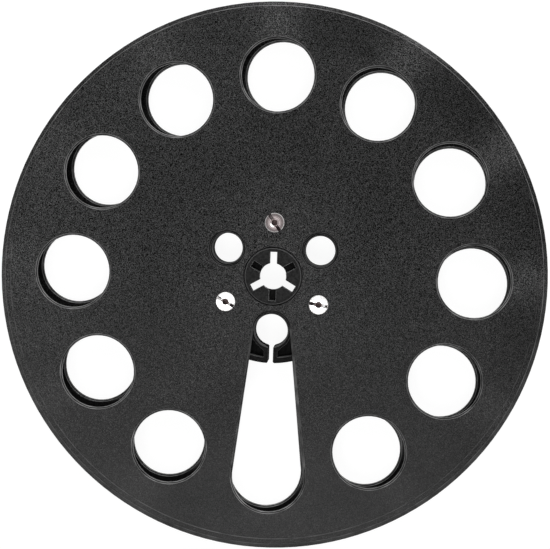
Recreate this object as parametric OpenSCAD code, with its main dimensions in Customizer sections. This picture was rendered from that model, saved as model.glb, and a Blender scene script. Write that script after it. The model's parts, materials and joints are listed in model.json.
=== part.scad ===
// Tape reel: two pierced metal flanges clamped on a moulded hub by sleeve nuts and screws.
// The reel lies flat with its front up and the threading window towards -Y.
// The origin is on the spindle axis, in the plane under the heads of the rear screws.

/* [Reel] */
// Diameter of both flanges
reel_d = 178; // [174:0.5:190]
// Clear width between the flanges, where the tape winds
tape_gap = 9.2; // [8:0.1:12]
// Share of the play at the screws that the front flange has turned on the hub
front_slip = 0.6; // [0:0.01:0.95]
// Share of the play at the screws that the rear flange has turned, the other way
rear_slip = 0.81; // [0:0.01:0.95]

/* [Flanges] */
// Thickness of a flange
flange_t = 2; // [1.6:0.1:2.6]
// Chamfer along the edges of the openings
edge_break = 0.65; // [0.2:0.05:0.75]
// Chamfer at the rim, on the side of the tape
rim_break = 0.5; // [0.2:0.05:0.75]
// Diameter of the round lightening holes
hole_d = 23.6; // [18:0.2:26]
// Diameter of the circle on which the lightening holes lie
hole_circle_d = 130.8; // [124:0.1:134]
// Places around that circle, one of them taken by the threading window
hole_places = 12; // [8:1:12]
// Diameter of the inner end of the threading window
window_tip_d = 11.7; // [10:0.1:13]
// Width of the land outside the raised bead at the rim
rim_land_w = 1.2; // [0.8:0.1:2]
// Fall of that land at the rim
rim_land_drop = 0.2; // [0.05:0.05:0.5]
// Width of the top of the raised bead inside the land
bead_w = 1.5; // [1:0.1:2.4]
// Height of the raised bead
bead_h = 0.2; // [0.1:0.05:0.3]
// Diameter of the flange openings over the finger holes
finger_window_d = 10.9; // [10:0.1:11.4]

/* [Hub] */
// Diameter of the drum that the tape winds on
hub_d = 57.1; // [54:0.1:64]
// Wall of that drum
drum_wall = 1.8; // [1.4:0.1:2.4]
// Web at mid height between the pockets
web_t = 2; // [1.4:0.1:3]
// Thickness of the radial ribs
rib_t = 1.4; // [1:0.1:2]
// Wall around the finger holes and the keyhole
hole_wall = 1.2; // [0.8:0.1:1.4]
// Distance of the finger holes, the screws and the tip of the threading window from the spindle axis
hub_hole_r = 17.5; // [17.2:0.05:18.4]
// Distance of the keyhole from the spindle axis
keyhole_r = 17.8; // [17.4:0.05:18.4]
// Diameter of the finger holes
finger_hole_d = 9.7; // [8.4:0.1:10]
// Diameter of the keyhole
keyhole_d = 10.7; // [9.6:0.1:11]
// Chamfer around both, on both ends of the hub
hole_break = 0.35; // [0.1:0.05:0.5]
// Width of the slot that holds the end of the tape
tape_slot_w = 1.6; // [1:0.1:2]
// Wall beside that slot
slot_wall = 1.4; // [1:0.1:1.6]
// Radius at the mouth of that slot
slot_mouth_r = 0.7; // [0.4:0.1:1.2]
// Distance from the edge of the keyhole to the narrow end of its funnel
funnel_gap = 0.3; // [0.1:0.1:0.8]
// Height of that funnel, and its spread on each side
funnel_h = 1.8; // [1:0.1:2.2]

/* [Spindle hole] */
// Diameter of the core around the spindle hole, between the flanges
core_d = 20.8; // [20:0.1:21.6]
// Diameter of the boss that fills the centre of each flange
boss_d = 18.6; // [18:0.1:19]
// Gap around the boss in the flange
boss_gap = 0.3; // [0.1:0.05:0.5]
// Step of the boss below the face of the flange
boss_step = 0.1; // [0:0.05:0.4]
// Chamfer around the boss
boss_chamfer = 0.3; // [0.1:0.05:0.5]
// Diameter of the spindle hole
bore_d = 8.6; // [8:0.1:8.8]
// Length of the straight wall of the spindle hole, under the front face
bore_land = 3.2; // [3:0.1:4]
// Growth of the spindle hole and its slots from that land to the rear face, on each side
draft_gain = 0.75; // [0.4:0.05:0.8]
// Width of the slots for the splines of the spindle
spline_slot_w = 2.25; // [2:0.05:2.25]
// Diameter across the ends of those slots
spline_tip_d = 15.9; // [15.5:0.1:16]
// Depth of the blind grooves between those slots, in both faces
groove_depth = 2.5; // [1.5:0.1:2.6]

/* [Fasteners] */
// Diameter of the sleeve of a sleeve nut
sleeve_d = 4; // [3.6:0.1:4.2]
// Play of the sleeve in the flanges, on each side
flange_play = 0.25; // [0.1:0.01:0.3]
// Play of the sleeve in the hub, on each side
hub_play = 0.05; // [0.02:0.01:0.15]
// Wall of the hub around the sleeve
sleeve_wall = 1.3; // [1:0.1:1.6]
// Distance from the end of the sleeve to the rear face
sleeve_short = 0.4; // [0.2:0.1:1]
// Diameter of the heads
head_d = 6.3; // [5.8:0.1:7]
// Height of the heads
head_h = 0.8; // [0.7:0.05:1.2]
// Chamfer around the heads
head_chamfer = 0.2; // [0.1:0.05:0.3]
// Width of the screwdriver slots
driver_slot_w = 1.05; // [0.8:0.05:1.2]
// Depth of the screwdriver slots
driver_slot_depth = 0.55; // [0.3:0.05:0.65]
// Diameter of the screws
screw_d = 2; // [1.6:0.1:2.4]
// Play of the screws in the sleeves, on each side
thread_play = 0.05; // [0.02:0.01:0.1]
// Length of the screws under the head
screw_len = 8; // [5:0.5:10]

/* [Hidden] */

$fn = 96;
// Steps around the rim and the drum
rim_fn = 240;
// How far a cut runs past the face that it opens
over = 1;

// Heights of the faces above the heads of the rear screws
rear_face = head_h;
rear_inner = rear_face + flange_t;
front_inner = rear_inner + tape_gap;
front_face = front_inner + flange_t;

// Angle that the play lets a flange turn on the sleeves
play_angle = asin(flange_play / hub_hole_r);
hub_turn = -front_slip * play_angle;
rear_turn = hub_turn - rear_slip * play_angle;

// Directions seen from the front, with +Y up
window_angle = 270;
finger_angles = [30, 150];
screw_angles = [90, 210, 330];
rib_step = 30;
spline_step = 120;
// Lie of the screwdriver slots, which the screws were left at
nut_slot_angles = [-56, -28, -10];
screw_slot_angles = [20, 74, -38];

flange_bore_d = boss_d + 2 * boss_gap;
sleeve_hole_d = sleeve_d + 2 * hub_play;
flange_screw_hole_d = sleeve_d + 2 * flange_play;
sleeve_bore_d = screw_d + 2 * thread_play;
sleeve_len = 2 * flange_t + tape_gap - sleeve_short;
pocket_depth = (tape_gap - web_t) / 2;

// The threading window: its ends lie on the circles of the screws and of the lightening holes
window_len = hole_circle_d / 2 - hub_hole_r;
window_half_angle = asin((hole_d - window_tip_d) / 2 / window_len);
window_side = window_len * cos(window_half_angle);
// How far the cut along a side of the window reaches into it
flank_reach = window_tip_d / 4;
// How far the straight sides lie inside the tangents of the round ends, so that they cross them
flank_inset = 0.02;

// The keyhole narrows to the tape slot in a funnel at 45 degrees, which starts inside the round hole
funnel_reach = keyhole_d / 2 + funnel_gap;

// Section of what an opening cuts from a plate, between its back and a wall with chamfered edges
function opening_section(back, wall, plate, chamfer) = [
    [back, -over], [wall + chamfer + over, -over], [wall, chamfer],
    [wall, plate - chamfer], [wall + chamfer + over, plate + over], [back, plate + over]];

// Section of the flange's disc, from the axis to the rim, outer face up
function flange_section(r) = [
    [0, 0], [r - rim_break, 0], [r, rim_break],
    [r, flange_t - rim_land_drop],
    [r - rim_land_w, flange_t],
    [r - rim_land_w - bead_h, flange_t + bead_h],
    [r - rim_land_w - bead_h - bead_w, flange_t + bead_h],
    [r - rim_land_w - 2 * bead_h - bead_w, flange_t],
    [0, flange_t]];

// What a round hole with chamfered edges cuts from a plate
module round_opening(d, plate, chamfer) {
    rotate_extrude()
        polygon(opening_section(0, d / 2, plate, chamfer));
}

// One straight side of the threading window, from the tip to the wide end
module window_flank() {
    wall = window_tip_d / 2 - flank_inset;
    translate([0, -hub_hole_r, 0])
        rotate([0, 0, window_half_angle])
            rotate([90, 0, 0])
                linear_extrude(window_side)
                    polygon(opening_section(wall - flank_reach, wall, flange_t, edge_break));
}

// The part of the window between its two round ends
module window_middle() {
    n = [cos(window_half_angle), sin(window_half_angle)];
    tip = [0, -hub_hole_r];
    wide = [0, -hole_circle_d / 2];
    flip = [[-1, 0], [0, 1]];
    a = tip + n * (window_tip_d - flank_reach) / 2;
    b = wide + n * (hole_d - flank_reach) / 2;
    translate([0, 0, -over])
        linear_extrude(flange_t + 2 * over)
            polygon([a, b, flip * b, flip * a]);
}

module threading_window() {
    translate([0, -hole_circle_d / 2, 0])
        round_opening(hole_d, flange_t, edge_break);
    translate([0, -hub_hole_r, 0])
        round_opening(window_tip_d, flange_t, edge_break);
    window_middle();
    window_flank();
    mirror([1, 0, 0])
        window_flank();
}

// A flange with its outer face up and its inner face at z = 0
module flange() {
    difference() {
        rotate_extrude($fn = rim_fn)
            polygon(flange_section(reel_d / 2));
        for (i = [1 : hole_places - 1])
            rotate([0, 0, window_angle + i * 360 / hole_places])
                translate([hole_circle_d / 2, 0, 0])
                    round_opening(hole_d, flange_t, edge_break);
        threading_window();
        for (a = finger_angles)
            rotate([0, 0, a])
                translate([hub_hole_r, 0, 0])
                    round_opening(finger_window_d, flange_t, edge_break);
        translate([0, 0, -over])
            cylinder(d = flange_bore_d, h = flange_t + 2 * over);
        for (a = screw_angles)
            rotate([0, 0, a])
                translate([hub_hole_r, 0, -over])
                    cylinder(d = flange_screw_hole_d, h = flange_t + 2 * over);
    }
}

module front_flange() {
    color("#3a3a3b")
        translate([0, 0, front_inner])
            flange();
}

// The same flange turned over
module rear_flange() {
    color("#3a3a3b")
        translate([0, 0, rear_inner])
            rotate([0, 0, rear_turn])
                rotate([0, 180, 0])
                    flange();
}

// Outline of the keyhole and its slot, grown outwards by two walls
module keyhole_outline(ring, side) {
    half = tape_slot_w / 2 + side;
    translate([0, -keyhole_r]) {
        circle(d = keyhole_d + 2 * ring);
        polygon([
            [-half, -funnel_reach - ring], [half, -funnel_reach - ring],
            [half + funnel_h, funnel_h - funnel_reach - ring],
            [-half - funnel_h, funnel_h - funnel_reach - ring]]);
    }
    translate([-half, -hub_d / 2 - over])
        square([2 * half, hub_d / 2 + over - keyhole_r]);
}

// Rounded mouth of the tape slot in the drum
module slot_mouth() {
    half = tape_slot_w / 2 + slot_mouth_r;
    difference() {
        translate([-half, -hub_d / 2 - over])
            square([2 * half, over + slot_mouth_r]);
        for (side = [-1, 1])
            translate([side * half, slot_mouth_r - hub_d / 2])
                circle(r = slot_mouth_r);
    }
}

// Plan of the pockets: the room between drum and core, less ribs and the walls of the holes
module pocket_plan() {
    difference() {
        circle(d = hub_d - 2 * drum_wall);
        circle(d = core_d);
        for (a = [0 : rib_step : 360 - rib_step])
            rotate(a)
                translate([0, -rib_t / 2])
                    square([hub_d / 2, rib_t]);
        for (a = finger_angles)
            rotate(a)
                translate([hub_hole_r, 0])
                    circle(d = finger_hole_d + 2 * hole_wall);
        for (a = screw_angles)
            rotate(a)
                translate([hub_hole_r, 0])
                    circle(d = sleeve_hole_d + 2 * sleeve_wall);
        keyhole_outline(hole_wall, slot_wall);
    }
}

// A boss that reaches from the hub's end into the centre of a flange, with its face up
module boss() {
    h = flange_t - boss_step;
    r = boss_d / 2;
    rotate_extrude()
        polygon([[0, -over], [r, -over], [r, h - boss_chamfer], [r - boss_chamfer, h], [0, h]]);
}

// One spline slot: straight along the land, then wider and longer towards the rear face
module spline_slot(top, bottom) {
    half = spline_slot_w / 2;
    tip = spline_tip_d / 2;
    land = top - bore_land;
    wide_half = half + draft_gain;
    long_tip = tip + draft_gain;
    translate([0, -half, land])
        cube([tip, spline_slot_w, bore_land + over]);
    intersection() {
        rotate([90, 0, 90])
            linear_extrude(long_tip)
                polygon([
                    [-half, land], [half, land], [wide_half, bottom],
                    [wide_half, bottom - over], [-wide_half, bottom - over], [-wide_half, bottom]]);
        translate([0, wide_half, 0])
            rotate([90, 0, 0])
                linear_extrude(2 * wide_half)
                    polygon([
                        [0, land], [tip, land], [long_tip, bottom],
                        [long_tip, bottom - over], [0, bottom - over]]);
    }
}

// The spindle hole with its slots, and the blind grooves between them
module spindle_opening(top, bottom) {
    land = top - bore_land;
    r = bore_d / 2;
    rotate_extrude()
        polygon([
            [0, bottom - over], [r + draft_gain, bottom - over], [r + draft_gain, bottom],
            [r, land], [r, top + over], [0, top + over]]);
    for (a = screw_angles)
        rotate([0, 0, a])
            spline_slot(top, bottom);
    for (a = screw_angles)
        rotate([0, 0, a + spline_step / 2]) {
            translate([0, -spline_slot_w / 2, top - groove_depth])
                cube([spline_tip_d / 2, spline_slot_w, groove_depth + over]);
            translate([0, -spline_slot_w / 2, bottom - over])
                cube([spline_tip_d / 2, spline_slot_w, groove_depth + over]);
        }
}

// The hub with its rear end at z = 0, between the flanges
module hub_body() {
    boss_reach = flange_t - boss_step;
    difference() {
        union() {
            difference() {
                cylinder(d = hub_d, h = tape_gap, $fn = rim_fn);
                translate([0, 0, tape_gap - pocket_depth])
                    linear_extrude(pocket_depth + over)
                        pocket_plan();
                translate([0, 0, -over])
                    linear_extrude(pocket_depth + over)
                        pocket_plan();
            }
            translate([0, 0, tape_gap])
                boss();
            rotate([180, 0, 0])
                boss();
        }
        spindle_opening(tape_gap + boss_reach, -boss_reach);
        for (a = finger_angles)
            rotate([0, 0, a])
                translate([hub_hole_r, 0, 0])
                    round_opening(finger_hole_d, tape_gap, hole_break);
        for (a = screw_angles)
            rotate([0, 0, a])
                translate([hub_hole_r, 0, -over])
                    cylinder(d = sleeve_hole_d, h = tape_gap + 2 * over);
        translate([0, -keyhole_r, 0])
            round_opening(keyhole_d, tape_gap, hole_break);
        translate([0, 0, -over])
            linear_extrude(tape_gap + 2 * over) {
                keyhole_outline(0, 0);
                slot_mouth();
            }
    }
}

module hub() {
    color("#262627")
        translate([0, 0, rear_inner])
            rotate([0, 0, hub_turn])
                hub_body();
}

// A flat head with its top at z = head_h, a screwdriver slot across it and a chamfered edge
module head(slot_angle) {
    r = head_d / 2;
    difference() {
        rotate_extrude()
            polygon([[0, 0], [r, 0], [r, head_h - head_chamfer], [r - head_chamfer, head_h], [0, head_h]]);
        rotate([0, 0, slot_angle])
            translate([-r - over, -driver_slot_w / 2, head_h - driver_slot_depth])
                cube([head_d + 2 * over, driver_slot_w, driver_slot_depth + over]);
    }
}

// A sleeve nut at one of the screw places, counted from 0
module sleeve_nut(i) {
    a = screw_angles[i] + hub_turn;
    color("#c9c4c0")
        translate([hub_hole_r * cos(a), hub_hole_r * sin(a), front_face])
            difference() {
                union() {
                    head(nut_slot_angles[i]);
                    translate([0, 0, -sleeve_len])
                        cylinder(d = sleeve_d, h = sleeve_len + head_h - driver_slot_depth);
                }
                translate([0, 0, -sleeve_len - over])
                    cylinder(d = sleeve_bore_d, h = sleeve_len + head_h + 2 * over);
            }
}

// The screw that clamps the rear flange, in the sleeve nut at the same place
module screw(i) {
    a = screw_angles[i] + hub_turn;
    color("#c9c4c0")
        translate([hub_hole_r * cos(a), hub_hole_r * sin(a), rear_face]) {
            rotate([180, 0, 0])
                head(screw_slot_angles[i]);
            translate([0, 0, driver_slot_depth - head_h])
                cylinder(d = screw_d, h = screw_len + head_h - driver_slot_depth);
        }
}

module sleeve_nut_top() { sleeve_nut(0); }
module sleeve_nut_left() { sleeve_nut(1); }
module sleeve_nut_right() { sleeve_nut(2); }
module screw_top() { screw(0); }
module screw_left() { screw(1); }
module screw_right() { screw(2); }

front_flange();
rear_flange();
hub();
sleeve_nut_top();
sleeve_nut_left();
sleeve_nut_right();
screw_top();
screw_left();
screw_right();
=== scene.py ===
"""Looks of a pierced metal tape reel: the finish of each piece, and the stage that it lies on."""

import json
import math

import bpy
from bpy.props import FloatProperty, FloatVectorProperty, PointerProperty
from mathutils import Euler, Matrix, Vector


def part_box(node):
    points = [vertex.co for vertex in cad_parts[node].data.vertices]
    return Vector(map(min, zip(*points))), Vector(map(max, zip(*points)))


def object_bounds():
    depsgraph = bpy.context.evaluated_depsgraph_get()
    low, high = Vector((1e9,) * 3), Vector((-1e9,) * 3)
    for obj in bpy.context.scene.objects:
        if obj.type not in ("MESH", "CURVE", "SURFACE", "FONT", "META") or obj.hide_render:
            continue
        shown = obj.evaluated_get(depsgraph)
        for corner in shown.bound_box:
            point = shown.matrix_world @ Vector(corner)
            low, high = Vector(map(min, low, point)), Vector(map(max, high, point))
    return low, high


bl_info = {
    "name": "Tape reel",
    "version": (1, 0, 0),
    "blender": (4, 5, 0),
    "location": "3D View > Sidebar > Tape reel",
    "description": "Finishes the flanges, the hub and the fasteners of a tape reel, and lights them",
    "category": "Object",
}

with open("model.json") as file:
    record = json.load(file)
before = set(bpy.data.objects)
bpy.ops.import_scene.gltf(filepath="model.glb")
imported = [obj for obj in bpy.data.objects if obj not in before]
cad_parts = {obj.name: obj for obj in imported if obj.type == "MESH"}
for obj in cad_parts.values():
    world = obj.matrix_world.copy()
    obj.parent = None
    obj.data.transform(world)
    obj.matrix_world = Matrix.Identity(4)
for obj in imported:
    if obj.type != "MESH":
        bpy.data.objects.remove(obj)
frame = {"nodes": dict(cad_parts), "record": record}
frame_low, frame_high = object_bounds()

MM = 0.001
FLANGES = ("front_flange", "rear_flange")
NUTS = ("sleeve_nut_top", "sleeve_nut_left", "sleeve_nut_right")
DULL_NUTS = ("sleeve_nut_top",)
SCREWS = ("screw_top", "screw_left", "screw_right")

# The axis of the spindle, and the radius of the flanges round it
SPINDLE = Vector((0, 0))
RIM = frame_high.x
# Thickness of a flange beside its bead
SHEET = 2 * MM
# From the rim of a flange to the middle of its raised bead
BEAD_FROM_RIM = 2.2 * MM
# Places for holes on their circle, of which the window takes one
HOLE_PLACES = 12
# Radius on the hub that holds the spindle hole with its slots and grooves
SPINDLE_HOLE_REACH = 8.5 * MM
# Radius on the hub that clears its boss
BOSS_REACH = 10.25 * MM

# Sides of the reel, in degrees from +X as seen from the front: where the window opens, where the painted
# sheen towards the rims is strongest, where the painted highlight on the bead's outer flank lies, where the
# painted sheen of the domed sheet shows most, and where the painted glint beside the bore of each head lies
WINDOW_SIDE = -90
RIM_SHEEN_SIDE = 150
BEAD_HIGHLIGHT_SIDE = 75
DOME_SHEEN_SIDE = 50
HEAD_GLINT_SIDE = 226
# The end of each screwdriver slot that is painted dark as the shadow of its wall, in the same degrees
SHADOWED_SLOT_ENDS = {
    "sleeve_nut_top": -56,
    "sleeve_nut_left": -28,
    "sleeve_nut_right": 170,
    "screw_top": 20,
    "screw_left": 74,
    "screw_right": -38,
}

# Slopes, from 0 on an upright wall to 1 on a level face; a mask turns between the two of a pair
UPRIGHT = (0.05, 0.15)
FLANK_TO_LAND = (0.82, 0.9)
LEVEL = (0.95, 0.98)
LAND_TO_LEVEL = (0.975, 0.99)
CHAMFER = math.cos(math.radians(45))

# Places and widths of the two lamps, in metres
KEY_PLACE = (0.22, 0.78, 0.78)
KEY_WIDTH = 0.8
FILL_PLACE = (-0.08, -0.37, 1.03)
FILL_WIDTH = 0.5


def mount_place(name):
    """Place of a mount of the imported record, in metres."""
    for row in frame["record"]["mounts"]:
        if row["name"] == name:
            return Vector(row["pos_m"])
    raise RuntimeError(f"the record has no mount {name}")


def axis_of(node):
    """Place of the axis of a round piece, which is the middle of its box."""
    low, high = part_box(node)
    return (low + high) / 2


def radius_of(node):
    """Radius of a round piece."""
    low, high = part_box(node)
    return (high - low).x / 2


class ReelFlangeLook(bpy.types.PropertyGroup):
    """Blasted and anodised sheet."""

    colour: FloatVectorProperty(
        name="Colour", description="Dyed oxide layer of the flanges",
        subtype="COLOR", size=3, min=0, max=1, default=(0.006, 0.006, 0.006),
    )
    chamfer_colour: FloatVectorProperty(
        name="Chamfer colour", description="Oxide on the turned chamfers",
        subtype="COLOR", size=3, min=0, max=1, default=(0.002, 0.002, 0.002),
    )
    # The pale edges are worn oxide, and also painted highlight where the edges catch the light
    edge_colour: FloatVectorProperty(
        name="Edge colour", description="Thin oxide on the sharp edges, where the metal shines through",
        subtype="COLOR", size=3, min=0, max=1, default=(0.33, 0.33, 0.33),
    )
    edge_round: FloatProperty(
        name="Edge rounding", description="Width of the rounding of the sharp edges",
        unit="LENGTH", min=0, max=0.3 * MM, default=0.07 * MM,
    )
    rim_band: FloatProperty(
        name="Rim band", description="Width of the band at the rim that holds the bead and the land",
        unit="LENGTH", min=0, max=10 * MM, default=3.6 * MM,
    )
    grain: FloatProperty(
        name="Grain", description="Width of the pits that the blasting left",
        unit="LENGTH", min=0.05 * MM, max=2 * MM, default=0.13 * MM,
    )
    grain_depth: FloatProperty(
        name="Grain depth", description="Depth of those pits",
        unit="LENGTH", min=0, max=0.2 * MM, default=0.012 * MM,
    )
    grain_contrast: FloatProperty(
        name="Grain contrast", description="How much colour and shine change from pit to pit",
        subtype="FACTOR", min=0, max=1, default=1,
    )
    worn_contrast: FloatProperty(
        name="Worn grain contrast",
        description="The same on the window's side, where the grain has worn smoother",
        subtype="FACTOR", min=0, max=1, default=0.34,
    )
    shine: FloatProperty(
        name="Shine", description="Specular level of the blasted face",
        subtype="FACTOR", min=0, max=1, default=0.15,
    )
    roughness: FloatProperty(
        name="Roughness", description="Roughness of the blasted face",
        subtype="FACTOR", min=0, max=1, default=0.42,
    )
    inner_roughness: FloatProperty(
        name="Inner roughness", description="Roughness of the smooth side that the tape touches",
        subtype="FACTOR", min=0, max=1, default=0.2,
    )


class ReelHubLook(bpy.types.PropertyGroup):
    """Moulded plastic."""

    colour: FloatVectorProperty(
        name="Colour", description="Plastic of the hub",
        subtype="COLOR", size=3, min=0, max=1, default=(0.006, 0.006, 0.006),
    )
    # The pale hub edges are partly polish from handling and partly painted highlight where the edges catch
    # the light
    edge_colour: FloatVectorProperty(
        name="Edge colour", description="Plastic on the edges, which handling has polished",
        subtype="COLOR", size=3, min=0, max=1, default=(0.24, 0.24, 0.24),
    )
    edge_round: FloatProperty(
        name="Edge rounding", description="Width of the rounding of the moulded edges",
        unit="LENGTH", min=0, max=0.3 * MM, default=0.1 * MM,
    )
    grain: FloatProperty(
        name="Grain", description="Width of the texture of the mould",
        unit="LENGTH", min=0.05 * MM, max=2 * MM, default=0.4 * MM,
    )
    grain_depth: FloatProperty(
        name="Grain depth", description="Depth of that texture",
        unit="LENGTH", min=0, max=0.2 * MM, default=0.008 * MM,
    )
    shine: FloatProperty(
        name="Shine", description="Specular level of the plastic",
        subtype="FACTOR", min=0, max=1, default=0.1,
    )
    roughness: FloatProperty(
        name="Roughness", description="Roughness of the plastic",
        subtype="FACTOR", min=0, max=1, default=0.5,
    )


class ReelFastenerLook(bpy.types.PropertyGroup):
    """Turned and plated metal."""

    bright: FloatVectorProperty(
        name="Bright plating", description="Plating of the nuts that kept their shine, and of the screws",
        subtype="COLOR", size=3, min=0, max=1, default=(0.9, 0.89, 0.88),
    )
    dull: FloatVectorProperty(
        name="Dull plating", description="Nut whose plating has worn to a pinkish grey",
        subtype="COLOR", size=3, min=0, max=1, default=(0.16, 0.138, 0.138),
    )
    # Also the colour of the painted shadow at one end of each slot
    grime: FloatVectorProperty(
        name="Grime", description="Old grease in the slots and down the shanks",
        subtype="COLOR", size=3, min=0, max=1, default=(0.012, 0.009, 0.009),
    )
    rust: FloatVectorProperty(
        name="Rust", description="Browned metal of the bores and the ends of the screws in them",
        subtype="COLOR", size=3, min=0, max=1, default=(0.26, 0.205, 0.2),
    )
    bright_roughness: FloatProperty(
        name="Bright roughness", description="Roughness of the nuts that kept their shine",
        subtype="FACTOR", min=0, max=1, default=0.2,
    )
    dull_roughness: FloatProperty(
        name="Dull roughness", description="Roughness of the worn nut",
        subtype="FACTOR", min=0, max=1, default=0.3,
    )
    screw_roughness: FloatProperty(
        name="Screw roughness", description="Roughness of the screws",
        subtype="FACTOR", min=0, max=1, default=0.25,
    )
    grime_roughness: FloatProperty(
        name="Grime roughness", description="Roughness of the old grease",
        subtype="FACTOR", min=0, max=1, default=0.6,
    )
    ring_pitch: FloatProperty(
        name="Ring pitch", description="Distance between the rings that the lathe left on the heads",
        unit="LENGTH", min=0.05 * MM, max=1 * MM, default=0.5 * MM,
    )
    ring_depth: FloatProperty(
        name="Ring depth", description="Depth of those rings",
        unit="LENGTH", min=0, max=0.2 * MM, default=0.006 * MM,
    )
    # The old grease and the painted slot shadow begin at this depth
    slot_depth: FloatProperty(
        name="Slot depth", description="Depth under the top of a head where the grime begins",
        unit="LENGTH", min=0, max=2 * MM, default=0.3 * MM,
    )


class ReelStageLook(bpy.types.PropertyGroup):
    """Floor, lamps and camera."""

    floor_colour: FloatVectorProperty(
        name="Floor colour", description="Pale floor, as it lights the reel",
        subtype="COLOR", size=3, min=0, max=1, default=(0.6, 0.6, 0.6),
    )
    shadow_depth: FloatProperty(
        name="Shadow depth", description="Share of the floor's white that the reel's shadow can take away",
        subtype="FACTOR", min=0, max=1, default=0.14,
    )
    ambient: FloatProperty(
        name="Ambient light", description="Strength of the even light of the room",
        min=0, max=2, default=0.1,
    )
    key_power: FloatProperty(
        name="Key light", description="Power of the large soft lamp beyond the top of the reel",
        unit="POWER", min=0, max=200, default=9,
    )
    fill_power: FloatProperty(
        name="Fill light", description="Power of the soft lamp above the window's side",
        unit="POWER", min=0, max=200, default=5.5,
    )
    camera_distance: FloatProperty(
        name="Camera distance", description="From the lens to the tops of the sleeve nuts",
        unit="LENGTH", min=0.2, max=5, default=0.51194,
    )
    camera_offset: FloatVectorProperty(
        name="Camera offset",
        description="How far the lens stands to its right and up, off the spindle axis",
        subtype="XYZ", unit="LENGTH", size=2, default=(0.00073, 0.00064),
    )
    camera_turn: FloatVectorProperty(
        name="Camera turn", description="Turn of the camera from straight down",
        subtype="EULER", size=3,
        default=tuple(math.radians(a) for a in (-2.159, 2.289, 1.444)),
    )
    lens: FloatProperty(
        name="Lens", description="Focal length in millimetres",
        unit="CAMERA", min=20, max=300, default=103.14,
    )


def fresh_material(name):
    """A new material, its node tree and its surface shader."""
    material = bpy.data.materials.new(name)
    material.use_nodes = True
    tree = material.node_tree
    tree.nodes.clear()
    output = tree.nodes.new("ShaderNodeOutputMaterial")
    shader = tree.nodes.new("ShaderNodeBsdfPrincipled")
    tree.links.new(shader.outputs[0], output.inputs[0])
    return material, tree, shader


def dress(node, material):
    """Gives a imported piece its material."""
    piece = frame["nodes"][node]
    piece.data.materials.clear()
    piece.data.materials.append(material)


def soften(node, width):
    """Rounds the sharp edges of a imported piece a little."""
    piece = frame["nodes"][node]
    weld = piece.modifiers.new("joined_faces", "WELD")
    weld.merge_threshold = 0.001 * MM
    bevel = piece.modifiers.new("rounded_edges", "BEVEL")
    bevel.limit_method = "ANGLE"
    bevel.angle_limit = math.radians(20)
    bevel.width = width
    bevel.segments = 2
    bevel.use_clamp_overlap = False
    bevel.harden_normals = True


def math_node(tree, operation, *values):
    """A Math node; each value is a number or an output to link."""
    made = tree.nodes.new("ShaderNodeMath")
    made.operation = operation
    for socket, value in zip(made.inputs, values):
        if isinstance(value, (int, float)):
            socket.default_value = value
        else:
            tree.links.new(value, socket)
    return made.outputs[0]


def product(tree, first, *others):
    """An output times other outputs and numbers."""
    for other in others:
        first = math_node(tree, "MULTIPLY", first, other)
    return first


def off_by(tree, value, middle):
    """How far an output is from a number, either way."""
    return math_node(tree, "ABSOLUTE", math_node(tree, "SUBTRACT", value, middle))


def spread(tree, value, low, high, to_low, to_high):
    """Maps a range to another, and stops at its ends."""
    made = tree.nodes.new("ShaderNodeMapRange")
    made.clamp = True
    tree.links.new(value, made.inputs["Value"])
    for name, number in (("From Min", low), ("From Max", high), ("To Min", to_low), ("To Max", to_high)):
        made.inputs[name].default_value = number
    return made.outputs["Result"]


def number_mix(tree, share, first, second):
    """Mixes two outputs that carry numbers."""
    made = tree.nodes.new("ShaderNodeMix")
    for name, value in (("Factor", share), ("A", first), ("B", second)):
        tree.links.new(value, made.inputs[name])
    return made.outputs["Result"]


def colour_mix(tree, share, first, second, blend="MIX"):
    """Mixes two colours; each is a triple or an output to link."""
    made = tree.nodes.new("ShaderNodeMix")
    made.data_type = "RGBA"
    made.blend_type = blend
    sockets = {s.identifier: s for s in made.inputs}
    for name, value in (("Factor_Float", share), ("A_Color", first), ("B_Color", second)):
        if isinstance(value, (int, float)):
            sockets[name].default_value = value
        elif isinstance(value, bpy.types.NodeSocket):
            tree.links.new(value, sockets[name])
        else:
            sockets[name].default_value = (*value[:3], 1)
    return next(s for s in made.outputs if s.identifier == "Result_Color")


def scaled_colour(tree, colour, factor):
    """A colour times a factor, which is an output to link."""
    grey = tree.nodes.new("ShaderNodeCombineColor")
    for socket in grey.inputs:
        tree.links.new(factor, socket)
    return colour_mix(tree, 1.0, colour, grey.outputs[0], "MULTIPLY")


def object_place(tree):
    """The place on the piece, in metres."""
    return tree.nodes.new("ShaderNodeTexCoord").outputs["Object"]


def object_xyz(tree):
    """The x, y and z of the place on the piece, in metres."""
    split = tree.nodes.new("ShaderNodeSeparateXYZ")
    tree.links.new(object_place(tree), split.inputs[0])
    return split.outputs["X"], split.outputs["Y"], split.outputs["Z"]


def axis_xy(tree, axis):
    """The x and y of the place on the piece, from an upright axis."""
    x, y, _ = object_xyz(tree)
    return math_node(tree, "SUBTRACT", x, axis.x), math_node(tree, "SUBTRACT", y, axis.y)


def axis_distance(tree, axis=SPINDLE):
    """Distance from an upright axis, in metres."""
    x, y = axis_xy(tree, axis)
    squares = math_node(tree, "ADD", product(tree, x, x), product(tree, y, y))
    return math_node(tree, "SQRT", squares)


def towards(tree, degrees, axis=SPINDLE):
    """How far a place lies towards a direction, seen from an upright axis, in metres."""
    x, y = axis_xy(tree, axis)
    angle = math.radians(degrees)
    return math_node(tree, "MULTIPLY_ADD", y, math.sin(angle), product(tree, x, math.cos(angle)))


def tilt(tree):
    """How level a surface is: 1 where it is level, 0 where it is upright."""
    split = tree.nodes.new("ShaderNodeSeparateXYZ")
    tree.links.new(tree.nodes.new("ShaderNodeTexCoord").outputs["Normal"], split.inputs[0])
    return math_node(tree, "ABSOLUTE", split.outputs["Z"])


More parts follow.
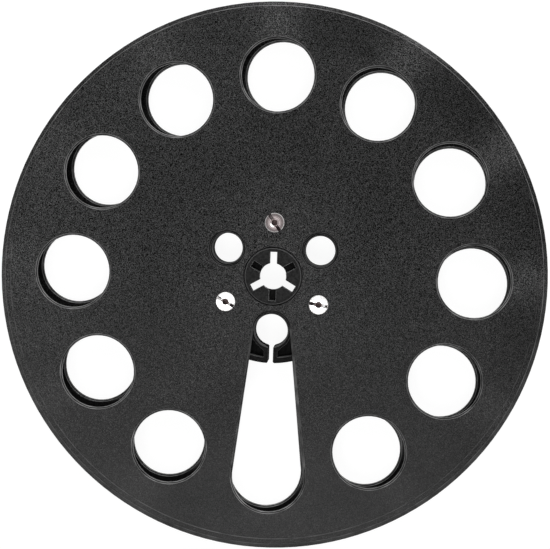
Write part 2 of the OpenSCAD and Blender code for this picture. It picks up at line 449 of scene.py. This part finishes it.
def noise(tree, width, detail):
    """Noise whose patches are about this wide, in metres."""
    made = tree.nodes.new("ShaderNodeTexNoise")
    made.inputs["Scale"].default_value = 1 / width
    made.inputs["Detail"].default_value = detail
    tree.links.new(object_place(tree), made.inputs["Vector"])
    return made.outputs["Fac"]


def pits(tree, width):
    """A different value between 0 and 1 on each of many small pits."""
    made = tree.nodes.new("ShaderNodeTexVoronoi")
    made.inputs["Scale"].default_value = 1 / width
    tree.links.new(object_place(tree), made.inputs["Vector"])
    split = tree.nodes.new("ShaderNodeSeparateColor")
    tree.links.new(made.outputs["Color"], split.inputs[0])
    return split.outputs[0]


def bumped(tree, height, depth, shader):
    """Lets a height of 0 to 1 stand for a relief of this depth, in metres."""
    made = tree.nodes.new("ShaderNodeBump")
    made.inputs["Strength"].default_value = 1
    made.inputs["Distance"].default_value = depth
    tree.links.new(height, made.inputs["Height"])
    tree.links.new(made.outputs["Normal"], shader.inputs["Normal"])


def set_shine(tree, shader, shine, usual):
    """Sets the specular level, which upright walls lack; the socket itself keeps the usual one."""
    socket = shader.inputs["Specular IOR Level"]
    socket.default_value = usual
    tree.links.new(product(tree, shine, spread(tree, tilt(tree), *UPRIGHT, 0, 1)), socket)


def edge_masks(tree):
    """Masks of the level faces, of the chamfers and of the rounded edges beside them."""
    slope = tilt(tree)
    level = spread(tree, slope, *LEVEL, 0, 1)
    upright = spread(tree, slope, *UPRIGHT, 1, 0)
    chamfer = spread(tree, off_by(tree, slope, CHAMFER), 0.03, 0.07, 1, 0)
    others = math_node(tree, "ADD", level, math_node(tree, "ADD", upright, chamfer))
    edge = math_node(tree, "MAXIMUM", math_node(tree, "SUBTRACT", 1, others), 0)
    return level, chamfer, edge


def sheet_height(tree):
    """Height over the inner face of a flange, in metres, and away from the tape on both flanges."""
    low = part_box("rear_flange")[1].z
    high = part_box("front_flange")[0].z
    _, _, z = object_xyz(tree)
    return math_node(tree, "SUBTRACT", off_by(tree, z, (low + high) / 2), (high - low) / 2)


def between_flanges(tree):
    """1 on the sides of the flanges that face the tape."""
    return spread(tree, sheet_height(tree), 0.02 * MM, 0.06 * MM, 1, 0)


def bead_wear_and_highlight(tree):
    """How pale the bead's two flanks and the land outside it are: worn oxide, and a painted highlight on
    the outer flank towards one side and on the inner flank and the land on the far side.
    """
    slope = tilt(tree)
    upper = towards(tree, BEAD_HIGHLIGHT_SIDE)
    fade = 0.3 * RIM
    past_flank = spread(tree, slope, *FLANK_TO_LAND, 0, 1)
    below_level = spread(tree, slope, *LAND_TO_LEVEL, 1, 0)
    land = product(tree, past_flank, below_level, spread(tree, upper, -fade, fade, 0.13, 0.02))
    bead = RIM - BEAD_FROM_RIM
    outer_flank = spread(tree, axis_distance(tree), bead - 0.1 * MM, bead + 0.1 * MM, 0, 1)
    more_outside = spread(tree, upper, -fade, fade, 0.2, 0.6)
    anywhere = spread(tree, upper, -fade, fade, 0.2, 0.07)
    flank_wear = math_node(tree, "MULTIPLY_ADD", outer_flank, more_outside, anywhere)
    flank = product(tree, spread(tree, slope, *FLANK_TO_LAND, 1, 0), spread(tree, slope, *UPRIGHT, 0, 1))
    return math_node(tree, "MULTIPLY_ADD", flank, flank_wear, land)


def worn_and_highlit_edges(tree, edge, rim_band):
    """How pale the edges of the openings are, least at the hub, and the rim band: worn oxide and painted
    highlight.
    """
    radius = axis_distance(tree)
    hub_radius = radius_of("hub")
    off_hub = spread(tree, radius, 0.9 * hub_radius, hub_radius, 0.2, 1)
    off_middle = off_by(tree, sheet_height(tree), SHEET / 2)
    off_face = spread(tree, off_middle, 0.4 * SHEET, 0.45 * SHEET, 1, 0.6)
    band_start = RIM - rim_band
    in_band = spread(tree, radius, band_start, band_start + 0.2 * MM, 0, 1)
    return number_mix(tree, in_band, product(tree, edge, off_hub, off_face), bead_wear_and_highlight(tree))


def worn_and_highlit_sides(tree):
    """How pale the chamfers along the window's straight sides are, more on the right one: worn oxide and
    painted highlight.
    """
    along = towards(tree, WINDOW_SIDE)
    across = towards(tree, WINDOW_SIDE + 90)
    beside = spread(tree, off_by(tree, across, 0), 0.15 * RIM, 0.16 * RIM, 1, 0)
    past_start = spread(tree, along, 0.18 * RIM, 0.2 * RIM, 0, 1)
    before_end = spread(tree, along, 0.69 * RIM, 0.72 * RIM, 1, 0)
    most = spread(tree, across, -1 * MM, 1 * MM, 0.27, 0.5)
    return product(tree, beside, most, past_start, before_end)


def painted_sheen_zones(tree):
    """Painted sheen: how much lighter a flange is round the hub, and towards the rim, most on one side."""
    radius = axis_distance(tree)
    round_hub = spread(tree, radius, 0.18 * RIM, 0.45 * RIM, 1.28, 1)
    outward = spread(tree, radius, 0.43 * RIM, 0.9 * RIM, 0, 1)
    most = spread(tree, towards(tree, RIM_SHEEN_SIDE), 0.1 * RIM, 0.6 * RIM, 0.12, 0.4)
    return math_node(tree, "MULTIPLY_ADD", outward, most, round_hub)


def painted_dome_sheen(tree):
    """Painted sheen and shade: how much lighter the sheet is outside each hole, domed by the punch, than
    between them.
    """
    x, y, _ = object_xyz(tree)
    turn = product(tree, math_node(tree, "ARCTAN2", y, x), HOLE_PLACES)
    wave = math_node(tree, "MULTIPLY_ADD", math_node(tree, "COSINE", turn), 0.5, 0.5)
    crest = math_node(tree, "POWER", wave, 3)
    dome = spread(tree, crest, 0, 1, -0.25, 0.8)
    lit = spread(tree, towards(tree, DOME_SHEEN_SIDE), 0.1 * RIM, 0.75 * RIM, 0.25, 1)
    past_holes = spread(tree, axis_distance(tree), 0.8 * RIM, 0.88 * RIM, 0, 1)
    off_window = spread(tree, towards(tree, WINDOW_SIDE), 0.84 * RIM, 0.9 * RIM, 1, 0)
    return product(tree, dome, lit, past_holes, off_window)


def speckled(tree, look, pit):
    """How light each pit is beside the mean, with less contrast on the window's side."""
    contrast = spread(
        tree, towards(tree, WINDOW_SIDE), -0.1 * RIM, 0.75 * RIM, look.grain_contrast, look.worn_contrast)
    # Few pits are light. Numbers spread evenly from 0 to 1 have a mean of 1 / (power + 1) once raised to
    # this power, so the mean of off_mean is 0
    power = 3
    off_mean = math_node(tree, "MULTIPLY_ADD", math_node(tree, "POWER", pit, power), power + 1, -1)
    return math_node(tree, "MULTIPLY_ADD", off_mean, contrast, 1)


def flange_material(look):
    """Black anodised aluminium, blasted outside and smooth inside, with pale edges of worn oxide and
    painted highlight, and painted sheen on the sheet.
    """
    material, tree, shader = fresh_material("anodised_flange")
    level, chamfer, edge = edge_masks(tree)
    inner = between_flanges(tree)
    pit = pits(tree, look.grain)
    cloud = spread(tree, noise(tree, width=22 * MM, detail=1), 0.3, 0.7, 0.93, 1.07)
    # Painted sheen on the sheet, in colour and shine: lighter round the hub, towards the rim and on the
    # domes outside the holes
    lighter = math_node(tree, "ADD", painted_sheen_zones(tree), painted_dome_sheen(tree))
    uneven = product(tree, speckled(tree, look, pit), cloud, lighter)
    turned = colour_mix(tree, chamfer, scaled_colour(tree, look.colour, uneven), look.chamfer_colour)
    # Pale edges, chamfers and bead: worn oxide, and painted highlight where they catch the light
    worn = math_node(
        tree, "MULTIPLY_ADD", chamfer, worn_and_highlit_sides(tree), worn_and_highlit_edges(tree, edge, look.rim_band))
    pale = product(tree, worn, spread(tree, noise(tree, width=5 * MM, detail=2), 0.35, 0.65, 0.35, 1))
    tree.links.new(colour_mix(tree, pale, turned, look.edge_colour), shader.inputs["Base Color"])
    roughness = spread(tree, inner, 0, 1, look.roughness, look.inner_roughness)
    tree.links.new(roughness, shader.inputs["Roughness"])
    shine = spread(tree, chamfer, 0, 1, look.shine, 0.2 * look.shine)
    set_shine(tree, shader, product(tree, uneven, shine), look.shine)
    outside = math_node(tree, "SUBTRACT", 1, inner)
    bumped(tree, product(tree, pit, level, outside), look.grain_depth, shader)
    return material


def painted_recess_shade(tree):
    """Painted shade in the hub's recesses: the share of its colour and shine that the hub shows, all at its
    two ends, about a third in its depth.
    """
    low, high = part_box("hub")
    reach = (high - low).z / 2
    _, _, z = object_xyz(tree)
    return spread(tree, off_by(tree, z, (low + high).z / 2), 0.65 * reach, 0.95 * reach, 0.35, 1)


def polish_and_highlight_edges(tree, edge, chamfer):
    """How pale the hub's edges and chamfer are, most on the edges round the spindle hole: partly polish
    from handling, partly painted highlight.
    """
    radius = axis_distance(tree)
    edge_share = spread(
        tree, radius, SPINDLE_HOLE_REACH - 0.1 * MM, SPINDLE_HOLE_REACH + 0.1 * MM, 1, 0.42)
    chamfer_share = spread(tree, radius, BOSS_REACH - 0.25 * MM, BOSS_REACH + 0.25 * MM, 0.03, 0.085)
    return math_node(
        tree, "MAXIMUM", product(tree, edge, edge_share), product(tree, chamfer, chamfer_share))


def hub_material(look):
    """Black moulded plastic with the faint texture of its mould, pale edges of polish and painted
    highlight, and painted shade in its recesses.
    """
    material, tree, shader = fresh_material("moulded_hub")
    level, chamfer, edge = edge_masks(tree)
    grain = pits(tree, look.grain)
    flow = noise(tree, width=6 * MM, detail=2)
    grainy = spread(tree, grain, 0, 1, 0.6, 1.4)
    flowed = spread(tree, flow, 0.3, 0.7, 0.8, 1.2)
    # The hub's recesses take painted shade in colour and shine
    tone = product(tree, grainy, flowed, painted_recess_shade(tree))
    # Pale edges: partly polish from handling, partly painted highlight
    polish_and_highlight = polish_and_highlight_edges(tree, edge, chamfer)
    colour = colour_mix(tree, polish_and_highlight, scaled_colour(tree, look.colour, tone), look.edge_colour)
    tree.links.new(colour, shader.inputs["Base Color"])
    roughness = spread(tree, flow, 0.3, 0.7, 0.85 * look.roughness, 1.15 * look.roughness)
    tree.links.new(roughness, shader.inputs["Roughness"])
    set_shine(tree, shader, product(tree, tone, look.shine), look.shine)
    bumped(tree, product(tree, grain, level), look.grain_depth, shader)
    return material


def turned_rings(tree, look, node):
    """Height of the rings that the lathe left inside the edge of a head."""
    radius = axis_distance(tree, axis_of(node))
    half = radius_of(node)
    wavy = noise(tree, width=3 * MM, detail=1)
    turns = math_node(tree, "ADD", product(tree, radius, 2 * math.pi / look.ring_pitch), wavy)
    rings = math_node(tree, "MULTIPLY_ADD", math_node(tree, "SINE", turns), 0.5, 0.5)
    return product(tree, rings, spread(tree, radius, 0.62 * half, 0.7 * half, 1, 0))


def painted_glint_spot(tree, node):
    """1 on the arc beside the bore of a head where a painted glint lies, 0 elsewhere."""
    angle = math.radians(HEAD_GLINT_SIDE)
    axis = axis_of(node)
    half = radius_of(node)
    arc = 0.47 * half
    spot = axis + arc * Vector((math.cos(angle), math.sin(angle), 0))
    near = spread(tree, axis_distance(tree, spot), 0.15 * half, 0.32 * half, 1, 0)
    within = spread(tree, axis_distance(tree, axis), arc, 0.55 * half, 1, 0)
    return product(tree, near, within)


def slot_grease_and_shadow(tree, node):
    """Share of the dark colour in the slot of a head: all of it at one end, as painted shadow of the slot's
    wall, and patches of old grease elsewhere.
    """
    axis = axis_of(node)
    half = radius_of(node)
    within = spread(tree, axis_distance(tree, axis), half - 0.04 * MM, half - 0.02 * MM, 1, 0)
    shadowed_end = spread(tree, towards(tree, SHADOWED_SLOT_ENDS[node], axis), 0.3 * half, 0.6 * half, 0, 1)
    patchy = spread(tree, noise(tree, width=0.8 * MM, detail=3), 0.42, 0.58, 0.6, 1)
    return product(tree, within, math_node(tree, "MAXIMUM", shadowed_end, patchy))


def turned_material(look, colour, roughness, node, top):
    """Plated metal with turned rings, a pale rim of wear and painted highlight, a painted glint beside the
    bore, old grease in the slot with painted shadow at one end of it, and rust in the bore.
    """
    material, tree, shader = fresh_material(f"plating_of_{node}")
    level, chamfer, edge = edge_masks(tree)
    ringed = turned_rings(tree, look, node)
    stain = spread(tree, noise(tree, width=1.2 * MM, detail=3), 0.3, 0.7, 0.85, 1.1)
    tone = product(tree, spread(tree, ringed, 0, 1, 0.65, 2.2), stain)
    # The rim is pale from wear and painted highlight; the spot beside the bore is a painted glint
    worn_and_highlit_rim = math_node(tree, "MAXIMUM", chamfer, edge)
    painted_glint = product(tree, painted_glint_spot(tree, node), level)
    polish_and_highlight = product(tree, math_node(tree, "MAXIMUM", worn_and_highlit_rim, painted_glint), 0.8)
    plated = colour_mix(tree, polish_and_highlight, scaled_colour(tree, colour, tone), look.bright)
    _, _, z = object_xyz(tree)
    # Old grease in the slot, and painted shadow at one end of it
    deep = spread(tree, off_by(tree, z, top), look.slot_depth, look.slot_depth + 0.05 * MM, 0, 1)
    grease_and_shadow_share = product(tree, deep, slot_grease_and_shadow(tree, node))
    greased_and_shaded = colour_mix(tree, grease_and_shadow_share, plated, look.grime)
    half = radius_of(node)
    bore = spread(tree, axis_distance(tree, axis_of(node)), 0.36 * half, 0.38 * half, 1, 0)
    rusted = colour_mix(tree, product(tree, bore, deep), greased_and_shaded, look.rust)
    tree.links.new(rusted, shader.inputs["Base Color"])
    shader.inputs["Metallic"].default_value = 1
    tree.links.new(spread(tree, grease_and_shadow_share, 0, 1, roughness, look.grime_roughness), shader.inputs["Roughness"])
    bumped(tree, ringed, look.ring_depth, shader)
    return material


def lit_paths(tree):
    """1 on rays from the camera, on mirrored rays and on rays through clear matter, else 0."""
    path = tree.nodes.new("ShaderNodeLightPath")
    seen = math_node(tree, "MAXIMUM", path.outputs["Is Camera Ray"], path.outputs["Is Glossy Ray"])
    return math_node(tree, "MAXIMUM", seen, path.outputs["Is Transmission Ray"])


def floor_material(look):
    """Pale floor that the camera and mirrors see as white with the reel's shadow, clear from below."""
    material = bpy.data.materials.new("pale_floor")
    material.use_nodes = True
    tree = material.node_tree
    tree.nodes.clear()
    seen = lit_paths(tree)
    matt = tree.nodes.new("ShaderNodeBsdfDiffuse")
    shade = (look.shadow_depth,) * 3
    tree.links.new(colour_mix(tree, seen, look.floor_colour, shade), matt.inputs["Color"])
    glow = tree.nodes.new("ShaderNodeEmission")
    tree.links.new(math_node(tree, "MULTIPLY", seen, 1 - look.shadow_depth / 2), glow.inputs["Strength"])
    both = tree.nodes.new("ShaderNodeAddShader")
    tree.links.new(matt.outputs[0], both.inputs[0])
    tree.links.new(glow.outputs[0], both.inputs[1])
    clear = tree.nodes.new("ShaderNodeBsdfTransparent")
    side = tree.nodes.new("ShaderNodeMixShader")
    tree.links.new(tree.nodes.new("ShaderNodeNewGeometry").outputs["Backfacing"], side.inputs[0])
    tree.links.new(both.outputs[0], side.inputs[1])
    tree.links.new(clear.outputs[0], side.inputs[2])
    output = tree.nodes.new("ShaderNodeOutputMaterial")
    tree.links.new(side.outputs[0], output.inputs[0])
    return material


def floor_piece(look, width=4.0):
    """A square floor under the reel."""
    half = width / 2
    corners = [(-half, -half, 0), (half, -half, 0), (half, half, 0), (-half, half, 0)]
    mesh = bpy.data.meshes.new("floor")
    mesh.from_pydata(corners, [], [(0, 1, 2, 3)])
    mesh.materials.append(floor_material(look))
    floor = bpy.data.objects.new("floor", mesh)
    bpy.context.scene.collection.objects.link(floor)


def room_light(look):
    """Even light of the room, which the camera and mirrors see as white."""
    world = bpy.data.worlds.new("white_room")
    bpy.context.scene.world = world
    world.use_nodes = True
    tree = world.node_tree
    tree.nodes.clear()
    background = tree.nodes.new("ShaderNodeBackground")
    background.inputs["Color"].default_value = (1, 1, 1, 1)
    strength = spread(tree, lit_paths(tree), 0, 1, look.ambient, 1)
    tree.links.new(strength, background.inputs["Strength"])
    output = tree.nodes.new("ShaderNodeOutputWorld")
    tree.links.new(background.outputs[0], output.inputs[0])


def soft_lamp(name, place, width, power):
    """A square soft lamp that faces the reel."""
    data = bpy.data.lights.new(name, "AREA")
    data.size = width
    data.energy = power
    lamp = bpy.data.objects.new(name, data)
    bpy.context.scene.collection.objects.link(lamp)
    lamp.location = place
    lamp.rotation_euler = (-Vector(place)).to_track_quat("-Z", "Y").to_euler()


def front_camera(look):
    """The camera above the front of the reel."""
    data = bpy.data.cameras.new("front_camera")
    data.sensor_width = 36
    data.lens = look.lens
    camera = bpy.data.objects.new("front_camera", data)
    bpy.context.scene.collection.objects.link(camera)
    turn = Euler(look.camera_turn, "XYZ")
    across, up = look.camera_offset
    reach = Vector((across, up, look.camera_distance))
    reach.rotate(turn)
    camera.rotation_euler = turn
    camera.location = Vector((0, 0, mount_place("front_seat_top").z)) + reach
    bpy.context.scene.camera = camera


class REEL_OT_flanges(bpy.types.Operator):
    """Gives both flanges their blasted and anodised finish"""

    bl_idname = "reel.flanges"
    bl_label = "Finish the flanges"

    def execute(self, context):
        look = context.scene.reel_flange
        material = flange_material(look)
        for node in FLANGES:
            dress(node, material)
            soften(node, look.edge_round)
        return {"FINISHED"}


class REEL_OT_hub(bpy.types.Operator):
    """Gives the hub its moulded finish"""

    bl_idname = "reel.hub"
    bl_label = "Finish the hub"

    def execute(self, context):
        look = context.scene.reel_hub
        dress("hub", hub_material(look))
        soften("hub", look.edge_round)
        return {"FINISHED"}


class REEL_OT_sleeve_nuts(bpy.types.Operator):
    """Gives the sleeve nuts their plating, which is dull on the top one"""

    bl_idname = "reel.sleeve_nuts"
    bl_label = "Finish the sleeve nuts"

    def execute(self, context):
        look = context.scene.reel_fasteners
        top = mount_place("front_seat_top").z
        for node in NUTS:
            dull = node in DULL_NUTS
            colour = look.dull if dull else look.bright
            roughness = look.dull_roughness if dull else look.bright_roughness
            dress(node, turned_material(look, colour, roughness, node, top))
        return {"FINISHED"}


class REEL_OT_screws(bpy.types.Operator):
    """Gives the screws of the rear flange their plating"""

    bl_idname = "reel.screws"
    bl_label = "Finish the screws"

    def execute(self, context):
        look = context.scene.reel_fasteners
        top = mount_place("rear_seat_top").z
        for node in SCREWS:
            made = turned_material(look, look.bright, look.screw_roughness, node, top)
            dress(node, made)
        return {"FINISHED"}


class REEL_OT_stage(bpy.types.Operator):
    """Makes the floor, the lamps and the camera"""

    bl_idname = "reel.stage"
    bl_label = "Set the stage"

    def execute(self, context):
        look = context.scene.reel_stage
        floor_piece(look)
        room_light(look)
        soft_lamp("key_lamp", KEY_PLACE, KEY_WIDTH, look.key_power)
        soft_lamp("fill_lamp", FILL_PLACE, FILL_WIDTH, look.fill_power)
        front_camera(look)
        context.scene.view_settings.view_transform = "Standard"
        return {"FINISHED"}


class REEL_PT_sidebar(bpy.types.Panel):
    """Lists the steps that finish the reel"""

    bl_idname = "REEL_PT_sidebar"
    bl_label = "Tape reel"
    bl_space_type = "VIEW_3D"
    bl_region_type = "UI"
    bl_category = "Tape reel"

    def draw(self, context):
        for step in STEPS:
            self.layout.operator(step.bl_idname)


STEPS = (REEL_OT_flanges, REEL_OT_hub, REEL_OT_sleeve_nuts, REEL_OT_screws, REEL_OT_stage)
LOOKS = {
    "reel_flange": ReelFlangeLook,
    "reel_hub": ReelHubLook,
    "reel_fasteners": ReelFastenerLook,
    "reel_stage": ReelStageLook,
}


def register():
    for made in (*LOOKS.values(), *STEPS, REEL_PT_sidebar):
        bpy.utils.register_class(made)
    for name, look in LOOKS.items():
        setattr(bpy.types.Scene, name, PointerProperty(type=look))


def unregister():
    for name in LOOKS:
        delattr(bpy.types.Scene, name)
    for made in (REEL_PT_sidebar, *reversed(STEPS), *reversed(LOOKS.values())):
        bpy.utils.unregister_class(made)


def main():
    register()
    bpy.ops.reel.flanges()
    bpy.ops.reel.hub()
    bpy.ops.reel.sleeve_nuts()
    bpy.ops.reel.screws()
    bpy.ops.reel.stage()


if __name__ == "__main__":
    main()
